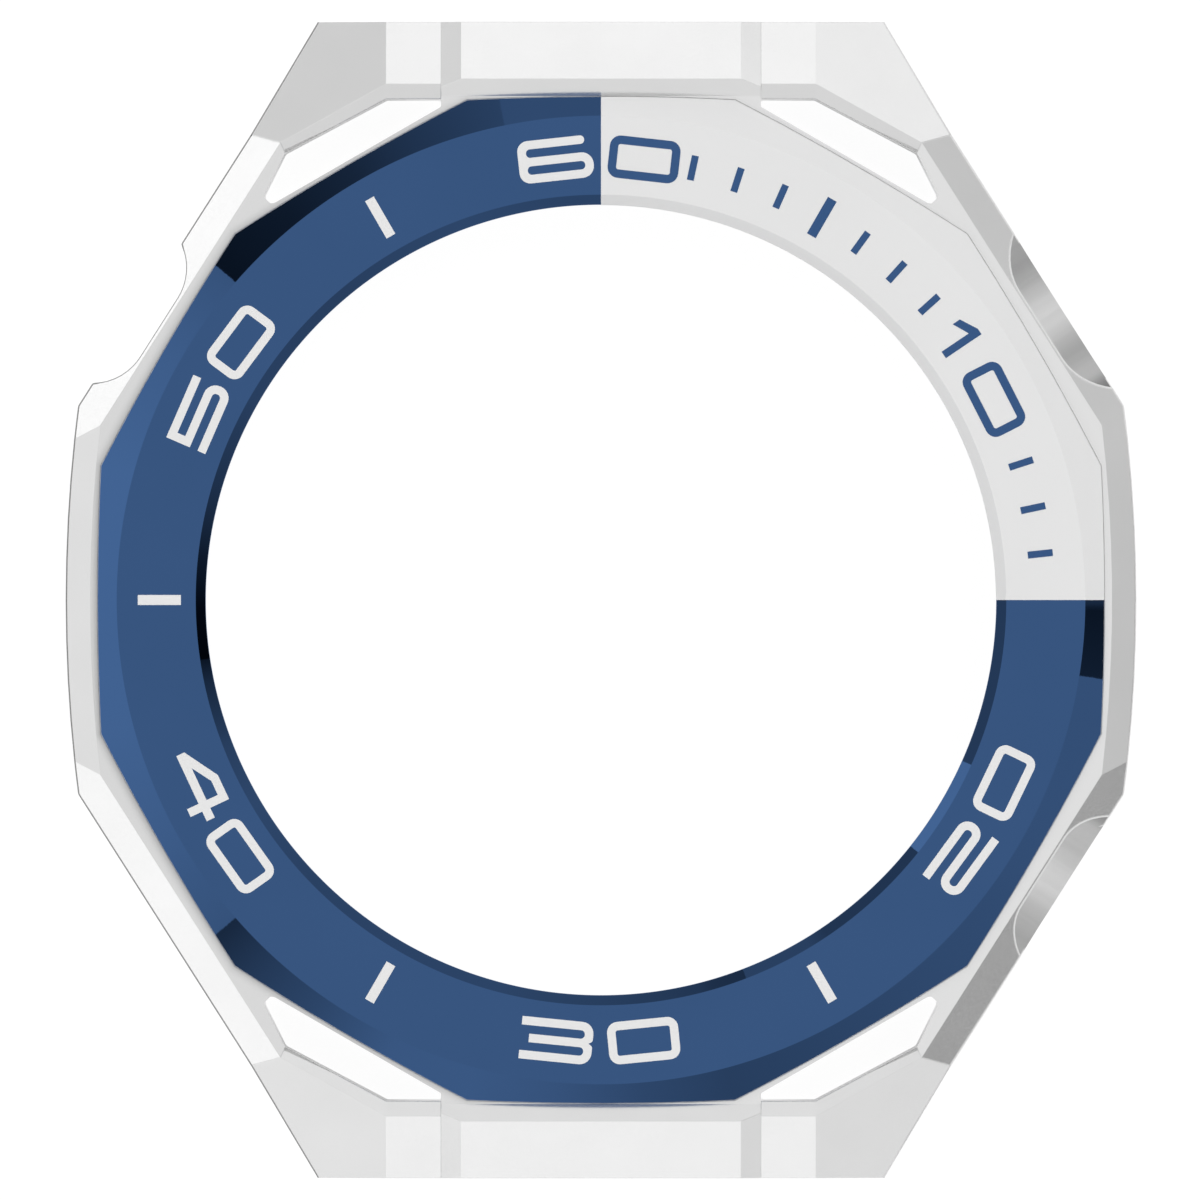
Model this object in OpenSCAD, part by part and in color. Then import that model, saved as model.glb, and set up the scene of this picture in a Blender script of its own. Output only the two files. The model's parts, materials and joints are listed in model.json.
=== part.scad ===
/* [Watch pocket] */
// Diameter of the round watch that drops into the pocket
watch_d = 45.4; // [41:0.1:50]
// Gap all round between the watch and the liner
watch_gap = 0.1; // [0.05:0.05:0.2]
// Thickness of the soft liner that wraps the watch
liner_t = 0.35; // [0.25:0.05:0.4]
// Height of the pocket, from the rear ring to the top frame
pocket_h = 6.3; // [6:0.1:7]
// Thickness of the soft rings above and below the watch
gasket_t = 0.4; // [0.3:0.05:0.6]

/* [Case outline] */
// Wall outside the pocket at 9 and 3 o'clock
side_wall = 2.3; // [2:0.05:2.8]
// Radius of the gently bowed side walls
side_r = 72.7; // [65:0.1:90]
// Wall outside the pocket on the four diagonals
corner_wall = 2.78; // [2.7:0.02:3.1]
// Direction in which the four diagonal walls face
wall_az = 32.5; // [31.5:0.1:33.5]
// Length of a horn, from its root to its end
horn_l = 5.37; // [5.2:0.01:5.8]
// Width of a horn at its end, beside the strap
horn_tip_w = 2.51; // [2.3:0.01:2.7]
// Height of the case back above the rear ring's face
back_z = 0.3; // [0.1:0.1:0.6]
// Chamfer round the case back
back_chamfer = 0.7; // [0.4:0.1:0.8]

/* [Top frame] */
// Height of the frame from the mid case to the flat rim
frame_h = 2; // [1.9:0.1:2.4]
// Width of the sloping facets on the diagonal walls
facet_w = 1.4; // [1.2:0.05:1.5]
// Slope of the diagonal facets
facet_slope = 30; // [26:1:34]
// Width of the sloping facets on the side walls
side_facet_w = 1.17; // [1:0.01:1.3]
// Slope of the side facets
side_facet_slope = 19.2; // [16:0.2:24]
// Thickness of the frame's floor under the insert
frame_floor = 1.1; // [0.9:0.1:1.2]
// Depth of the twelve-sided seat that takes the insert's brim
brim_seat = 0.15; // [0.1:0.05:0.25]

/* [Hoods and horns] */
// How far the horns' flats reach in over each side of the strap
horn_cover = 3.38; // [3:0.02:3.6]
// Width of the bevels on the hood's two sides
hood_side_bevel = 0.95; // [0.7:0.05:1.1]
// Slope of the bevels on the hood's two sides
hood_side_slope = 38; // [32:1:42]
// Width of the steep bevel between the insert and the hood's crest
hood_rise_w = 0.8; // [0.7:0.05:1]
// Length of a hood, from its crest to its end
hood_run = 2.74; // [2.6:0.02:3.2]
// Height of the horns' crests above the flat rim
horn_rise = 0.464; // [0.4:0.002:0.55]
// Slope of the hoods and horns down towards the strap
horn_slope = 30; // [29:0.5:31]
// How far inside the strap's edge the flat of a horn turns down to its side
horn_turn = 0.77; // [0.7:0.01:0.85]
// Direction in which a horn's slanted crest faces
horn_crest_az = 61; // [60.7:0.1:61.3]
// Width of the narrow bevel along the slot
band_w = 0.7; // [0.6:0.02:0.8]
// Slope of the narrow bevel along the slot
band_slope = 22; // [16:1:28]

/* [Slots] */
// Web between the insert and the slanted part of a slot
slot_web = 0.2; // [0.15:0.01:0.3]
// Width of the slanted part of a slot
slot_w = 1.72; // [1.5:0.02:1.8]
// How far the far end of a slot lies inside its inner wall
slot_end_in = 1.2; // [1.1:0.05:1.4]
// Gap between the insert's outline and a slot's straight outer wall, seen from above
slot_overlap = 0.08; // [0.05:0.01:0.15]

/* [Bezel insert] */
// How far the ring reaches in from the pocket's wall, over the watch
ring_reach = 4.39; // [4:0.01:5]
// How far the middle of each of the twelve sides lies outside the pocket's wall
ring_overhang = 0.75; // [0.65:0.01:0.78]
// Radius to which the twelve sides are bowed
insert_bow_r = 130; // [90:1:200]
// Width of the bevel outside the flat face, at the middle of a side
ring_bevel_w = 0.9; // [0.7:0.05:1.1]
// Height of the face above the frame's rim
insert_rise = 1.3; // [1.1:0.1:1.6]
// Slope of the bevel outside the flat face
insert_slope = 26; // [24:1:30]
// Width of the chamfer round the window
window_chamfer = 0.48; // [0.3:0.02:0.6]
// Thickness of the bonding ring under the insert
bond_t = 0.15; // [0.1:0.05:0.2]

/* [Finger scoops] */
// Depth of the scoops in the diagonal walls, at the height of the rim
scoop_depth = 1.3; // [1.1:0.02:1.34]
// Half length of the flat floor of a scoop
scoop_flat = 1.9; // [1.6:0.05:2]
// Depth of the notch
notch_depth = 1.24; // [1.1:0.02:1.3]
// Half length of the flat floor of the notch
notch_flat = 1.65; // [1.4:0.05:1.8]
// Corner radius of the scoop at 2 o'clock
upper_scoop_r = 3.7; // [3.3:0.1:3.9]
// Corner radius of the scoop at 4 o'clock and of the notch
lower_scoop_r = 2.7; // [2.4:0.1:3]
// Height at which a scoop runs out into the wall
scoop_foot = 6; // [5.8:0.1:6.4]

/* [Pushers] */
// Height of the pushers above the back
key_z = 4.2; // [4:0.1:4.3]
// Length of a pusher's head
key_l = 5; // [4.4:0.1:5.4]
// Width of a pusher's head
key_w = 2.6; // [2.5:0.05:2.8]
// How far a pusher's face lies inside the diagonal wall
key_sunk = 0.2; // [0.14:0.02:0.3]
// Thickness of a pusher's head
key_t = 0.85; // [0.8:0.05:0.9]
// Distance that a pusher travels inwards
key_travel = 0.5; // [0.45:0.05:0.55]
// Diameter of a pusher's stem
stem_d = 1; // [0.8:0.05:1.04]
// Wire diameter of a pusher's spring
key_wire = 0.15; // [0.12:0.01:0.18]
// Gap round a pusher's head
key_gap = 0.08; // [0.06:0.01:0.12]

/* [Spring bars] */
// Width of the strap between the horns
strap_w = 22; // [20:0.1:24]
// Room for the strap's loop between a spring bar and the case
loop_t = 0.9; // [0.8:0.05:1.1]
// Height of the spring bars above the back
bar_z = 3.6; // [3.2:0.1:4]
// Diameter of a spring bar's tube
bar_d = 1.5; // [1.4:0.05:1.8]
// Wall of a spring bar's tube
bar_wall = 0.15; // [0.12:0.01:0.17]
// Diameter of the pin at each end of a bar
tip_d = 0.8; // [0.7:0.05:0.9]
// Depth of the pin in the horn
tip_grip = 1.1; // [0.8:0.05:1.2]
// Distance that a tip is pushed in to free the bar
tip_travel = 1.2; // [1.15:0.05:1.35]
// Turns of a spring bar's spring
bar_turns = 12; // [8:1:14]

/* [Rear ring and screws] */
// How far the rear ring reaches in from the pocket's wall, under the watch
rear_reach = 3.2; // [2.6:0.1:3.8]
// Thickness of the rear ring
rear_t = 1.3; // [1.2:0.1:1.5]
// Width of the rear ring's seat outside the pocket
rear_seat = 0.45; // [0.35:0.05:0.5]
// Direction of the screws from the centre
screw_az = 43; // [42:0.5:44]
// Distance of the screws outside the pocket's wall
screw_out = 0.95; // [0.9:0.02:1]
// Thread diameter of the screws
screw_d = 1; // [0.9:0.05:1.1]
// Head diameter of the screws
screw_head_d = 1.6; // [1.5:0.05:1.65]

/* [Hidden] */

// Fineness of the large arcs, the small bores and the corners of the slots
arc_fn = 240;
bore_fn = 48;
corner_steps = 5;
// Overshoot of every cut past the face that it leaves
eps = 0.5;
// Size of the blocks that stand for half spaces
big = 90;
// Clearances: a fit that slides, a part that drops in, a screw in its hole
slide_gap = 0.03;
drop_gap = 0.05;
screw_gap = 0.05;

// Levels, from the rear ring's face upwards
pocket_z = rear_t;
split_z = pocket_z + pocket_h;
rim_z = split_z + frame_h;
floor_z = split_z + frame_floor;
brim_z = rim_z - brim_seat;
face_z = rim_z + insert_rise;
roof_z = split_z - 1;

// Radii of the rings that share the pocket
liner_r = watch_d / 2 + watch_gap;
pocket_r = liner_r + liner_t + drop_gap;
rear_r = pocket_r + rear_seat;
rear_bore_r = pocket_r - rear_reach;
window_r = pocket_r - ring_reach;
frame_bore_r = window_r + 0.8;

// Distances of the insert's sides and edges from the centre
insert_side = pocket_r + ring_overhang;
face_r = insert_side - ring_bevel_w;
spigot_r = face_r + 0.15;
hood_foot = insert_side + drop_gap;

// Distances of the slots' walls from the centre
slot_inner = insert_side + slot_web;
slot_diagonal = slot_inner + slot_w;
slot_outer = insert_side - slot_overlap;
slot_end = slot_inner - slot_end_in;

// Half sizes, the outer walls and the centre of the bowed side walls
half_w = pocket_r + side_wall;
hood_crest = hood_foot + hood_rise_w;
half_l = hood_crest + hood_run;
wall_d = pocket_r + corner_wall;
side_x = half_w - side_r;

// The point where two lines cross, each given by its direction and distance
function cross_at(a, p, b, q) =
    [p * sin(b) - q * sin(a), q * cos(a) - p * cos(b)] / sin(b - a);

function facing_way(az) = [cos(az), sin(az)];

// Corners of the outline and the crests that run to them
diag_az = 62;
slot_az = 60;
slot_end_az = 26.4;
crest_d = wall_d - facet_w;
channel_half = strap_w / 2;
hood_half_w = channel_half - horn_cover;
horn_root = cross_at(90, half_l - horn_l, wall_az, wall_d);
horn_tip = [channel_half + horn_tip_w, half_l];
crest_turn = [channel_half - horn_turn, slot_outer + band_w];
crest_end = cross_at(horn_crest_az, crest_turn * facing_way(horn_crest_az), wall_az, crest_d);

// Gradients of the sloping planes of a horn
fall_y = -tan(horn_slope);
turn_z = rim_z + horn_rise;
fall_x = (rim_z - turn_z - fall_y * (crest_end.y - crest_turn.y)) / (crest_end.x - crest_turn.x);
band_fall = tan(band_slope);

// The hood's side bevels run down flush to the flats of the horns
hood_fall = tan(hood_side_slope);
hood_z = turn_z + fall_y * (hood_crest - crest_turn.y) + hood_side_bevel * hood_fall;
hood_foot_fall = (hood_z - rim_z) / hood_rise_w;

// How far the side facets spread for each millimetre down
side_run = 1 / tan(side_facet_slope);

// Strap channel under the hoods
channel_y = slot_outer + 0.78;
bar_y = channel_y + loop_t + bar_d / 2;
horn_end_chamfer = 1.3;

// Scoops and the pushers in them
scoop_tilt = atan(scoop_depth / (rim_z - scoop_foot));
upper_scoop_s = -0.2;
lower_scoop_s = -0.37;
key_s = -0.3;
key_face = wall_d - key_sunk;
key_inner = key_face - key_t;
key_floor = key_inner - key_travel - 0.1;
key_skin = 0.24;
key_cavity_r = 1.1;
stem_wall = 0.35;
spot_r = 1.2;
spot_d = key_floor - stem_wall;
clip_t = 0.2;
clip_r = 0.95;
clip_inner_r = stem_d / 2 - 0.12;
stem_end = liner_r - 0.05;
seal_wire = 0.28;
key_turns = 1.75;
port_l = 3;
port_w = 1;

// Spring bar, from its middle outwards
tip_end = channel_half + tip_grip;
flange_x = channel_half - 0.7;
flange_t = 0.3;
flange_r = 0.62;
tube_end = flange_x - tip_travel - 0.1;
lip_t = 0.25;
bar_bore_r = bar_d / 2 - bar_wall;
piston_r = bar_bore_r - slide_gap;
piston_l = 2;
piston_end = tube_end - lip_t - drop_gap;
bar_wire = 0.2;

// Screws
screw_r = pocket_r + screw_out;
ear_r = screw_head_d / 2 + 0.35;
head_seat_z = 0.85;
head_t = 0.7;
screw_top = floor_z + 0.3;
socket_depth = 0.35;

// Keeps a shape and its mirror image
module both_x() { children(); mirror([1, 0, 0]) children(); }
module both_y() { children(); mirror([0, 1, 0]) children(); }
module four_ways() { both_x() both_y() children(); }

// Keeps what a shape and its mirror image share
module both_x_cut() {
    intersection() {
        children();
        mirror([1, 0, 0]) children();
    }
}

module both_y_cut() {
    intersection() {
        children();
        mirror([0, 1, 0]) children();
    }
}

// Everything under the plane through p whose height changes by g per millimetre
module under(p, g) {
    n = [-g.x, -g.y, 1];
    translate(p)
        rotate([0, acos(1 / norm(n)), atan2(n.y, n.x)])
            translate([-big, -big, -2 * big])
                cube(2 * big);
}

// Everything over such a plane
module over(p, g) {
    n = [-g.x, -g.y, 1];
    translate(p)
        rotate([0, acos(1 / norm(n)), atan2(n.y, n.x)])
            translate([-big, -big, 0])
                cube(2 * big);
}

// A plane facing one way round the case, given by its crest
function facing(az, d, z) = [d * cos(az), d * sin(az), z];
function falling(az, slope) = -tan(slope) * facing_way(az);

// Points of an arc that rounds the corner b between a and c
function corner(a, b, c, r) =
    let (
        u = (a - b) / norm(a - b),
        v = (c - b) / norm(c - b),
        half = acos(u * v) / 2,
        mid = b + (u + v) / norm(u + v) * r / sin(half),
        p = b + u * r / tan(half) - mid,
        q = b + v * r / tan(half) - mid
    )
    [for (i = [0:corner_steps])
        let (w = p * (1 - i / corner_steps) + q * i / corner_steps)
        mid + w / norm(w) * r];

// Outline of one slot between a horn and the ring
slot_corners = [
    [hood_half_w, slot_outer],
    cross_at(90, slot_outer, diag_az, slot_diagonal),
    cross_at(diag_az, slot_diagonal, slot_end_az, slot_end),
    cross_at(slot_end_az, slot_end, slot_az, slot_inner),
    cross_at(slot_az, slot_inner, 0, hood_half_w)];
slot_radii = [0.15, 0.3, 0.3, 0.35, 0.12];

module slot() {
    last = len(slot_corners) - 1;
    translate([0, 0, -eps])
        linear_extrude(face_z + 2 * eps)
            polygon([for (i = [0:last]) each
                corner(slot_corners[(i + last) % (last + 1)], slot_corners[i],
                       slot_corners[(i + 1) % (last + 1)], slot_radii[i])]);
}

// Plan of one horn above the level of the frame
module horn_plan(z0, z1) {
    translate([0, 0, z0])
        linear_extrude(z1 - z0)
            polygon([
                [hood_half_w, half_l], horn_tip, horn_root, crest_end,
                slot_corners[2], slot_corners[1], slot_corners[0]]);
}

// The whole outline between two heights
module outline_block(z0, z1) {
    wide = half_w + 1;
    side = cross_at(wall_az, wall_d, 0, wide);
    upper = [horn_tip, horn_root, side];
    right = concat(upper, [for (i = [2:-1:0]) [upper[i].x, -upper[i].y]]);
    left = [for (i = [5:-1:0]) [-right[i].x, right[i].y]];
    intersection() {
        translate([0, 0, z0])
            linear_extrude(z1 - z0)
                polygon(concat(right, left));
        both_x_cut() side_bevel(z0 - eps, 0, 0, z1 - z0 + 2 * eps);
    }
}

// Drum or cone of one bowed side wall, inset at its foot and spreading upwards
module side_bevel(z, spread, inset, h) {
    translate([side_x, 0, z])
        cylinder(h = h, r1 = side_r - inset, r2 = side_r - inset + h * spread, $fn = arc_fn);
}

// Cutter of a finger scoop, its floor at x = 0 and its length along y
module scoop_shape(r, flat) {
    linear_extrude(4 * rim_z, center = true) {
        translate([r, flat]) circle(r, $fn = arc_fn);
        translate([r, -flat]) circle(r, $fn = arc_fn);
        translate([0, -flat]) square([2 * r, 2 * flat]);
    }
}

// The same at its place in the upper diagonal wall on the right
module scoop(depth, flat, r, s, tilt) {
    rotate(wall_az)
        translate([wall_d - depth, s, rim_z])
            rotate([0, -tilt, 0])
                scoop_shape(r, flat);
}

// The two finger scoops on the right and the notch on the left
module finger_cuts() {
    scoop(scoop_depth, scoop_flat, upper_scoop_r, upper_scoop_s, scoop_tilt);
    mirror([0, 1, 0]) scoop(scoop_depth, scoop_flat, lower_scoop_r, lower_scoop_s, scoop_tilt);
    mirror([1, 0, 0]) scoop(notch_depth, notch_flat, lower_scoop_r, lower_scoop_s, 0);
}

// Puts a shape on the axis of a pusher, with +Z outwards and Y along the wall
module key_axis() {
    rotate(wall_az)
        translate([0, key_s, key_z])
            rotate([0, 90, 0])
                children();
}

module upper_key() { key_axis() children(); }
module lower_key() { mirror([0, 1, 0]) key_axis() children(); }

// A flat-sided pill from height z0 to z1, its length along Y
module pill(l, w, z0, z1) {
    translate([0, 0, z0])
        linear_extrude(z1 - z0) {
            for (y = [-1, 1]) translate([0, y * (l - w) / 2]) circle(d = w, $fn = bore_fn);
            square([w, l - w], center = true);
        }
}

// A small round rod and a large round disc between two heights
module rod(r, z0, z1) {
    translate([0, 0, z0]) cylinder(h = z1 - z0, r = r, $fn = bore_fn);
}

module disc(r, z0, z1) {
    translate([0, 0, z0]) cylinder(h = z1 - z0, r = r, $fn = arc_fn);
}

// Recess, stem hole and clip seat of one pusher
module key_cut() {
    pill(key_l + 2 * key_gap, key_w + 2 * key_gap, key_floor, wall_d + eps);
    rod(stem_d / 2 + slide_gap, liner_r - eps, key_floor + eps);
    rod(spot_r, liner_r - eps, spot_d);
}

// Puts a shape at the four screws
module at_screws() {
    four_ways() translate([screw_r * cos(screw_az), screw_r * sin(screw_az), 0]) children();
}

// Puts a shape on the axis of a spring bar, with +Z to the right
module bar_axis(side) {
    translate([0, side * bar_y, bar_z]) rotate([0, 90, 0]) children();
}

// Main casting: walls, pocket, horns and the shelves under the hoods
module mid_case() {
    color("silver")
    difference() {
        union() {
            intersection() {
                outline_block(back_z, split_z);
                both_x_cut() side_bevel(back_z, 1, back_chamfer, split_z);
                both_x_cut() both_y_cut()
                    over(facing(wall_az, wall_d - back_chamfer, back_z), facing_way(wall_az));
                both_y_cut() over([0, half_l - horn_end_chamfer, back_z], [0, 1]);
                both_x_cut() both_y_cut() horn_side();
            }
            four_ways() horn_top();
        }
        disc(pocket_r, pocket_z - eps, split_z + eps);
        disc(rear_r + drop_gap, -eps, pocket_z);
        at_screws() rod(ear_r + drop_gap, -eps, pocket_z);
        at_screws() rod(screw_d / 2 + screw_gap, 0, split_z + eps);
        four_ways() slot();
        both_y() strap_channel();
        finger_cuts();
        upper_key() key_cut();
        lower_key() key_cut();
        mirror([1, 0, 0]) key_axis() pill(port_l, port_w, liner_r - eps, wall_d + eps);
        for (side = [-1, 1])
            bar_axis(side) rod(tip_d / 2 + drop_gap, -tip_end - 0.2, tip_end + 0.2);
    }
}

// All below the plane of a horn's side, which reaches the horn's end below the split
module horn_side() {
    under([crest_turn.x, crest_turn.y, turn_z], [fall_x, fall_y]);
}

// The part of a horn that stands beside the frame
module horn_top() {
    along = [sin(horn_crest_az), -cos(horn_crest_az)];
    down = [fall_x, fall_y] * along;
    intersection() {
        horn_plan(split_z - eps, face_z);
        under([crest_turn.x, crest_turn.y, turn_z], [0, fall_y]);
        horn_side();
        union() {
            under([crest_turn.x, crest_turn.y, turn_z], [0, band_fall]);
            under([crest_end.x, crest_end.y, rim_z],
                  down * along + band_fall * facing_way(horn_crest_az));
        }
    }
}

module strap_channel() {
    translate([-channel_half, channel_y, -eps])
        cube([2 * channel_half, half_l, roof_z + eps]);
}

// Top frame: flat rim, facets and the two hoods, with a seat for the insert
module bezel_frame() {
    color("gainsboro")
    difference() {
        union() {
            intersection() {
                outline_block(split_z, rim_z);
                translate([-half_w, -hood_foot, 0]) cube([2 * half_w, 2 * hood_foot, big]);
                both_x_cut()
                    side_bevel(split_z, -side_run, side_facet_w - frame_h * side_run, frame_h);
                both_x_cut() both_y_cut()
                    under(facing(wall_az, crest_d, rim_z), falling(wall_az, facet_slope));
            }
            both_y() hood();
        }
        four_ways() horn_plan(split_z - eps, face_z + eps);
        four_ways() slot();
        disc(frame_bore_r, split_z - eps, face_z);
        disc(spigot_r + drop_gap, floor_z, face_z);
        insert_prism(brim_z, face_z, drop_gap);
        finger_cuts();
        at_screws() rod(screw_d / 2 + 0.02, split_z - eps, screw_top + 0.1);
    }
}

// Hood over the end of the strap, on the shelf of the mid case
module hood() {
    intersection() {
        translate([-hood_half_w, hood_foot - eps, split_z])
            cube([2 * hood_half_w, half_l - hood_foot + eps, face_z]);
        under([0, hood_crest, hood_z], [0, fall_y]);
        under([0, hood_crest, hood_z], [0, hood_foot_fall]);
        both_x_cut()
            under([hood_half_w - hood_side_bevel, hood_crest, hood_z], [-hood_fall, fall_y]);
    }
}

// Twelve-sided prism with gently bowed sides
module insert_prism(z0, z1, grow) {
    translate([0, 0, z0])
        linear_extrude(z1 - z0)
            intersection_for(i = [0:11])
                rotate(30 * i)
                    translate([insert_side - insert_bow_r, 0])
                        circle(insert_bow_r + grow, $fn = 2 * arc_fn);
}

// The whole bezel insert, before it is split in two colours
module insert_ring() {
    far = insert_side + 1;
    intersection() {
        rotate_extrude($fn = arc_fn)
            polygon([
                [window_r, floor_z + bond_t],
                [window_r, face_z - window_chamfer],
                [window_r + window_chamfer, face_z],
                [face_r, face_z],
                [far, face_z - tan(insert_slope) * (far - face_r)],
                [far, brim_z],
                [spigot_r, brim_z],
                [spigot_r, floor_z + bond_t]]);
        insert_prism(split_z, face_z + eps, 0);
    }
}

module first_quarter() {
    translate([0, 0, split_z]) cube([half_l, half_l, face_z]);
}

module insert_blue() {
    color([0.2, 0.33, 0.5])
    difference() {
        insert_ring();
        first_quarter();
    }
}

module insert_white() {
    color("white")
    intersection() {
        insert_ring();
        first_quarter();
    }
}

// A flat ring between two radii and two heights
module ring(r0, r1, z0, z1) {
    difference() {
        disc(r1, z0, z1);
        disc(r0, z0 - eps, z1 + eps);
    }
}

module insert_bond() {
    color("dimgray") ring(frame_bore_r + 0.3, spigot_r - 0.2, floor_z, floor_z + bond_t);
}

module screen_gasket() {
    color([0.12, 0.12, 0.13]) ring(frame_bore_r + 0.3, liner_r - 0.15, split_z - gasket_t, split_z);
}

module rear_gasket() {
    color([0.12, 0.12, 0.13]) ring(rear_bore_r + 0.4, liner_r - 0.15, pocket_z, pocket_z + gasket_t);
}

module pocket_liner() {
    color([0.16, 0.16, 0.17])
    difference() {
        ring(liner_r, liner_r + liner_t, pocket_z, split_z);
        upper_key() rod(spot_r + 0.1, liner_r - 2, wall_d);
        lower_key() rod(spot_r + 0.1, liner_r - 2, wall_d);
        mirror([1, 0, 0]) key_axis() pill(port_l, port_w, liner_r - 2, wall_d);
    }
}

// Ring screwed to the back, with an ear for each screw
module rear_ring() {
    color("gray")
    difference() {
        union() {
            disc(rear_r, 0, rear_t);
            at_screws() rod(ear_r, 0, rear_t);
        }
        disc(rear_bore_r, -eps, rear_t + eps);
        translate([0, 0, -eps])
            cylinder(h = eps + 0.4, r1 = rear_bore_r + 0.4 + eps, r2 = rear_bore_r, $fn = arc_fn);
        at_screws() rod(screw_head_d / 2 + screw_gap, -eps, head_seat_z);
        at_screws() rod(screw_d / 2 + screw_gap, 0, rear_t + eps);
    }
}

// Long screws that clamp the ring, the mid case and the frame together
module case_screws() {
    color("darkgray")
    at_screws()
        difference() {
            union() {
                rod(screw_head_d / 2, head_seat_z - head_t, head_seat_z);
                rod(screw_d / 2, head_seat_z - 0.1, screw_top);
            }
            translate([0, 0, head_seat_z - head_t - eps])
                cylinder(h = eps + socket_depth, d = 0.75, $fn = 6);
        }
}

// Head and stem of a pusher, hollow behind for the spring
module pusher_head() {
    color("silver")
    difference() {
        union() {
            difference() {
                pill(key_l, key_w, key_inner, key_face);
                rod(key_cavity_r, key_inner - eps, key_face - key_skin);
            }
            rod(stem_d / 2, stem_end, key_face - key_skin / 2);
        }
        difference() {
            rod(stem_d, spot_d - clip_t - 0.07, spot_d - 0.03);
            rod(clip_inner_r, spot_d - 1, spot_d + 1);
        }
    }
}

// Spring clip in the stem's groove, open on one side
module pusher_clip() {
    color("dimgray")
    difference() {
        rod(clip_r, spot_d - clip_t - drop_gap, spot_d - drop_gap);
        rod(clip_inner_r + 0.02, spot_d - 1, spot_d + 1);
        translate([0, -clip_inner_r - 0.02, spot_d - 1])
            cube([2 * clip_r, 2 * clip_inner_r + 0.04, 2]);
    }
}

module pusher_seal() {
    color([0.12, 0.12, 0.13])
    translate([0, 0, key_floor + seal_wire / 2])
        rotate_extrude($fn = bore_fn)
            translate([stem_d / 2 + slide_gap + seal_wire / 2, 0])
                circle(d = seal_wire, $fn = 16);
}

// Wire wound round Z as one unbroken tube, from z0 to z1
sides = 6;

function coil_centre(r, turns, z0, z1, wire, t) =
    [r * cos(360 * turns * t), r * sin(360 * turns * t),
     z0 + wire / 2 + (z1 - z0 - wire) * t];

function coil_gap(r, turns, z0, z1, wire, rings) =
    min([for (i = [0:rings], j = [i + floor(rings / turns / 2):rings])
        norm(coil_centre(r, turns, z0, z1, wire, i / rings)
             - coil_centre(r, turns, z0, z1, wire, j / rings))]) - wire;

module coil(r, turns, z0, z1, wire, per_turn) {
    rings = turns * per_turn;
    climb = (z1 - z0 - wire) / turns / (2 * PI * r);
    points = [for (i = [0:rings]) let (a = 360 * turns * i / rings)
        each [for (k = [0:sides - 1])
            let (
                b = 360 * k / sides,
                out = [cos(a), sin(a), 0],
                up = [climb * sin(a), -climb * cos(a), 1] / sqrt(1 + climb * climb)
            )
            coil_centre(r, turns, z0, z1, wire, i / rings)
                + wire / 2 * (out * cos(b) + up * sin(b))]];
    walls = [for (i = [0:rings - 1], k = [0:sides - 1])
        let (
            p = i * sides + k,
            q = i * sides + (k + 1) % sides
        )
        each [[p, q, p + sides], [q, q + sides, p + sides]]];
    first = [for (k = [sides - 1:-1:0]) k];
    final = [for (k = [0:sides - 1]) rings * sides + k];
    polyhedron(points, concat(walls, [first], [final]));
}

key_coil_r = (stem_d / 2 + slide_gap + seal_wire + key_cavity_r) / 2;
bar_coil_r = piston_r - 0.05 - bar_wire / 2;
echo(pusher_spring_gap = coil_gap(key_coil_r, key_turns, key_floor, key_face - key_skin, key_wire, 48));
echo(bar_spring_gap = coil_gap(bar_coil_r, bar_turns, piston_l - piston_end,
                               piston_end - piston_l, bar_wire, 96));

module pusher_spring() {
    color("lightsteelblue")
    coil(key_coil_r, key_turns, key_floor, key_face - key_skin, key_wire, 12);
}

module upper_pusher_head() { upper_key() pusher_head(); }
module upper_pusher_clip() { upper_key() pusher_clip(); }
module upper_pusher_seal() { upper_key() pusher_seal(); }
module upper_pusher_spring() { upper_key() pusher_spring(); }
module lower_pusher_head() { lower_key() pusher_head(); }
module lower_pusher_clip() { lower_key() pusher_clip(); }
module lower_pusher_seal() { lower_key() pusher_seal(); }
module lower_pusher_spring() { lower_key() pusher_spring(); }

// Tube of a spring bar, its ends turned in over the tips
module bar_tube(side) {
    color("silver")
    bar_axis(side)
        difference() {
            rod(bar_d / 2, -tube_end, tube_end);
            rod(bar_bore_r, lip_t - tube_end, tube_end - lip_t);
            rod(tip_d / 2 + slide_gap, -tube_end - eps, tube_end + eps);
        }
}

module bar_spring(side) {
    color("lightsteelblue")
    bar_axis(side)
        coil(bar_coil_r, bar_turns, piston_l - piston_end, piston_end - piston_l, bar_wire, 8);
}

// One tip of a spring bar: piston, pin and pulling flange
module bar_tip(side, way) {
    color("darkgray")
    bar_axis(side)
        rotate([0, way > 0 ? 0 : 180, 0]) {
            rod(piston_r, piston_end - piston_l, piston_end);
            rod(tip_d / 2, piston_end - 0.1, tip_end);
            rod(flange_r, flange_x, flange_x + flange_t);
        }
}

module bar_12_tube() { bar_tube(1); }
module bar_12_spring() { bar_spring(1); }
module bar_12_tip_left() { bar_tip(1, -1); }
module bar_12_tip_right() { bar_tip(1, 1); }
module bar_6_tube() { bar_tube(-1); }
module bar_6_spring() { bar_spring(-1); }
module bar_6_tip_left() { bar_tip(-1, -1); }
module bar_6_tip_right() { bar_tip(-1, 1); }

mid_case();
bezel_frame();
insert_blue();
insert_white();
insert_bond();
screen_gasket();
pocket_liner();
rear_gasket();
rear_ring();
case_screws();
upper_pusher_head();
upper_pusher_clip();
upper_pusher_seal();
upper_pusher_spring();
lower_pusher_head();
lower_pusher_clip();
lower_pusher_seal();
lower_pusher_spring();
bar_12_tube();
bar_12_spring();
bar_12_tip_left();
bar_12_tip_right();
bar_6_tube();
bar_6_spring();
bar_6_tip_left();
bar_6_tip_right();
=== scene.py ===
import json
import math

import bmesh
import bpy
from mathutils import Matrix, Vector


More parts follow.
